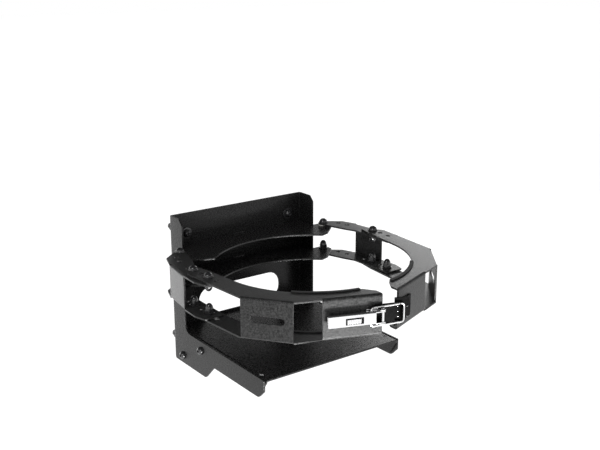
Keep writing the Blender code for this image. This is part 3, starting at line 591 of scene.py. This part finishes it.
# Draw latch: a pressed steel lever with a sliding lock button, a wire bail and a base riveted to the left
# panel, all in polished zinc-bright steel. Its points are along the panel, up it, and out from it.
PANEL_CORNER = Vector((-0.1430, RING_Y - 0.1455, -0.0428))
PANEL_SLOPE = math.radians(20.77)
ALONG = Vector((math.cos(PANEL_SLOPE), -math.sin(PANEL_SLOPE), 0))
OUT = Vector((-math.sin(PANEL_SLOPE), -math.cos(PANEL_SLOPE), 0))
ON_PANEL = Matrix.Translation(PANEL_CORNER) @ Matrix((
    (ALONG.x, 0, OUT.x, 0), (ALONG.y, 0, OUT.y, 0), (0, 1, 0, 0), (0, 0, 0, 1)))


def bright_steel():
    material = bpy.data.materials.new("bright zinc steel")
    material.use_nodes = True
    tree = material.node_tree
    shader = tree.nodes["Principled BSDF"]
    shader.inputs["Metallic"].default_value = 1.0
    cloud, grain = noise(tree, 120, 3), noise(tree, 1600, 2)
    tree.links.new(tinted(tree, cloud, (0.80, 0.80, 0.81), (0.90, 0.90, 0.90)), shader.inputs["Base Color"])
    tree.links.new(spread(tree, grain, 0.3, 0.7, 0.10, 0.18), shader.inputs["Roughness"])
    tree.links.new(bumped(tree, grain, 0.00002, 0.15), shader.inputs["Normal"])
    return material


def slab(points, low, high, across=False):
    """A flat outline on the latch's own axes: (along, up) drawn outwards, or (along, out) drawn upwards."""
    bm = bmesh.new()
    corners = [bm.verts.new((a, low, b) if across else (a, b, low)) for a, b in points]
    face = bm.faces.new(corners)
    grown = bmesh.ops.extrude_face_region(bm, geom=[face], use_keep_orig=True)
    moved = [item for item in grown["geom"] if isinstance(item, bmesh.types.BMVert)]
    lift = (0, high - low, 0) if across else (0, 0, high - low)
    bmesh.ops.translate(bm, verts=moved, vec=lift)
    bmesh.ops.recalc_face_normals(bm, faces=bm.faces)
    return bm


def add_to(bm, other):
    """Move another shell into this one."""
    spare = bpy.data.meshes.new("spare")
    other.to_mesh(spare)
    other.free()
    bm.from_mesh(spare)
    bpy.data.meshes.remove(spare)
    return bm


def latch_copy(node):
    """A merged copy of a node, laid on the latch's own axes."""
    bm = merged_copy(node)
    bmesh.ops.transform(bm, matrix=ON_PANEL.inverted(), verts=bm.verts)
    return bm


def latch_piece(name, bm, material, body, slot, *nodes):
    bmesh.ops.transform(bm, matrix=ON_PANEL, verts=bm.verts)
    return add_piece(name, bm, material, body, slot, *nodes)


BRIGHT = bright_steel()
PIVOT = 0.1340
LEVER_HALF = 0.0095
LEVER_TOP = 0.0074

# Its base is a channel with two ears, riveted to the panel.
base = latch_copy("latch_base")
break_edges(base, sharp_edges(base), 0.0002)
latch_piece("latch_base_bright", base, BRIGHT, "left_side", "bright_steel", "latch_base")

# Its lever is folded over its long edges, so they are broken.
lever = latch_copy("latch_lever")
folds = [edge for edge in sharp_edges(lever) if all(
    abs(abs(corner.co.y) - LEVER_HALF) < 0.0002 and corner.co.z > LEVER_TOP and corner.co.x < PIVOT - 0.0105
    for corner in edge.verts)]
break_edges(lever, folds, 0.0014, 1)
latch_piece("latch_lever_bright", lever, BRIGHT, "lever", "bright_steel", "latch_lever")

# Its lock button is a ribbed thumb piece, sunk in the lever's window with room above and before it.
THUMB_START, THUMB_END, THUMB_LOW, THUMB_HIGH = 0.0783, 0.1003, -0.0063, 0.0012
THUMB_BACK, RIB_ROOT, RIB_SHOULDER, RIB_TOP = 0.0085, 0.0106, 0.0112, 0.0116
RIBS = 6
pitch = (THUMB_END - THUMB_START) / RIBS
ribs = [(THUMB_START, THUMB_BACK)]
for i in range(RIBS):
    left = THUMB_START + i * pitch
    ribs += [(left, RIB_SHOULDER), (left + 0.2 * pitch, RIB_TOP), (left + 0.6 * pitch, RIB_TOP),
             (left + 0.8 * pitch, RIB_ROOT)]
ribs += [(THUMB_END, RIB_ROOT), (THUMB_END, THUMB_BACK)]
button = slab(ribs, THUMB_LOW, THUMB_HIGH, across=True)
break_edges(button, sharp_edges(button), 0.0002)
latch_piece("lock_button_bright", button, BRIGHT, "button", "bright_steel", "lock_button")

# Its pivot pin is a headed rivet, and its bail a loop of 3.2 mm wire.
for node in ("latch_pin", "latch_bail"):
    NODES[node].data.materials.clear()
    NODES[node].data.materials.append(BRIGHT)


# Painted shade in the latch: a near-black plate that rides with the lock button inside the lever, so that the
# window's gaps read as shade, and a near-black strip under the latch's base that reaches past the panel's end,
# to behind the bail, as the shade there.
# Near black with almost no gloss: the keeper's own black, and painted shade on the plates below.
def keeper_and_shade_black():
    material = bpy.data.materials.new("near black keeper and painted shade")
    material.use_nodes = True
    tree = material.node_tree
    shader = tree.nodes["Principled BSDF"]
    shader.inputs["IOR"].default_value = 1.12
    cloud = noise(tree, 300, 4)
    tree.links.new(tinted(tree, cloud, (0.001, 0.001, 0.001), (0.004, 0.004, 0.004)), shader.inputs["Base Color"])
    tree.links.new(spread(tree, cloud, 0.3, 0.7, 0.38, 0.5), shader.inputs["Roughness"])
    tree.links.new(bumped(tree, noise(tree, 1500, 2), 0.00005, 0.3), shader.inputs["Normal"])
    return material


BASE_FLOOR = 0.0018
KEEPER_AND_SHADE = keeper_and_shade_black()
# A near-black plate behind the lock button's window: painted shade in its gaps.
window_shade = slab([(0.0718, 0.0082), (0.1038, 0.0082), (0.1038, 0.0101), (0.0718, 0.0101)], -0.0072, 0.0066, across=True)
latch_piece("lock_button_slide", window_shade, KEEPER_AND_SHADE, "button", "black_keeper")
# A near-black strip under the base and behind the bail: painted shade.
SHADE_START, SHADE_WIDE, SHADE_END = PIVOT - 0.0235, PIVOT - 0.0095, 0.1550
under_bail_shade = slab([(SHADE_START, 0.0100), (SHADE_WIDE, 0.0180), (SHADE_END, 0.0180), (SHADE_END, -0.0145),
                (SHADE_WIDE, -0.0145), (SHADE_START, -0.0100)], BASE_FLOOR + 0.0001, BASE_FLOOR + 0.0007)
break_edges(under_bail_shade, sharp_edges(under_bail_shade), 0.0002)
latch_piece("latch_shade_strip", under_bail_shade, KEEPER_AND_SHADE, "left_side", "black_keeper")


# Keeper: a folded hook riveted to the right panel, with a flat face behind the bail and a lip that takes its
# bar, in a near black that is partly the keeper's own colour and partly painted shade around the bail. Four
# small bright rivets hold the lip, and two black ones stand beyond the bar.
FACE_BACK, FACE_FRONT = -0.0042, -0.0024
SMALL_RIVETS = (0.0095, 0.0015, -0.0068, -0.0146)
LARGE_RIVETS = (0.0087, -0.0078)
keeper = latch_copy("latch_keeper")
face = slab([(0.1562, -0.0220), (0.1562, 0.0235), (0.1775, 0.0235), (0.1812, 0.0120), (0.1812, -0.0060),
             (0.1700, -0.0150)], FACE_BACK, FACE_FRONT)
break_edges(keeper, sharp_edges(keeper), 0.0003)
break_edges(face, sharp_edges(face), 0.0003)
# Near black: the keeper's own colour, and painted shade around the bail.
latch_piece("latch_keeper_and_shade", add_to(keeper, face), KEEPER_AND_SHADE, "right_side", "black_keeper", "latch_keeper")


def rivet(radius, height, at):
    """A domed head on the latch's own axes."""
    arc = [(radius * math.cos(a), height * math.sin(a)) for a in (math.radians(deg) for deg in (0, 22, 45, 68))]
    bm = turned([(0, -0.0004), (radius, -0.0004), *arc, (0, height)], 20)
    bmesh.ops.recalc_face_normals(bm, faces=bm.faces)
    bmesh.ops.translate(bm, verts=bm.verts, vec=at)
    return bm


small = bmesh.new()
for up in SMALL_RIVETS:
    add_to(small, rivet(0.0011, 0.0008, (0.1615, up, FACE_FRONT)))
latch_piece("keeper_rivets_bright", small, BRIGHT, "right_side", "bright_steel")
large = bmesh.new()
for up in LARGE_RIVETS:
    add_to(large, rivet(0.0017, 0.0016, (0.1764, up, FACE_FRONT)))
latch_piece("keeper_rivets_black", large, PLATED, "right_side", "black_keeper")
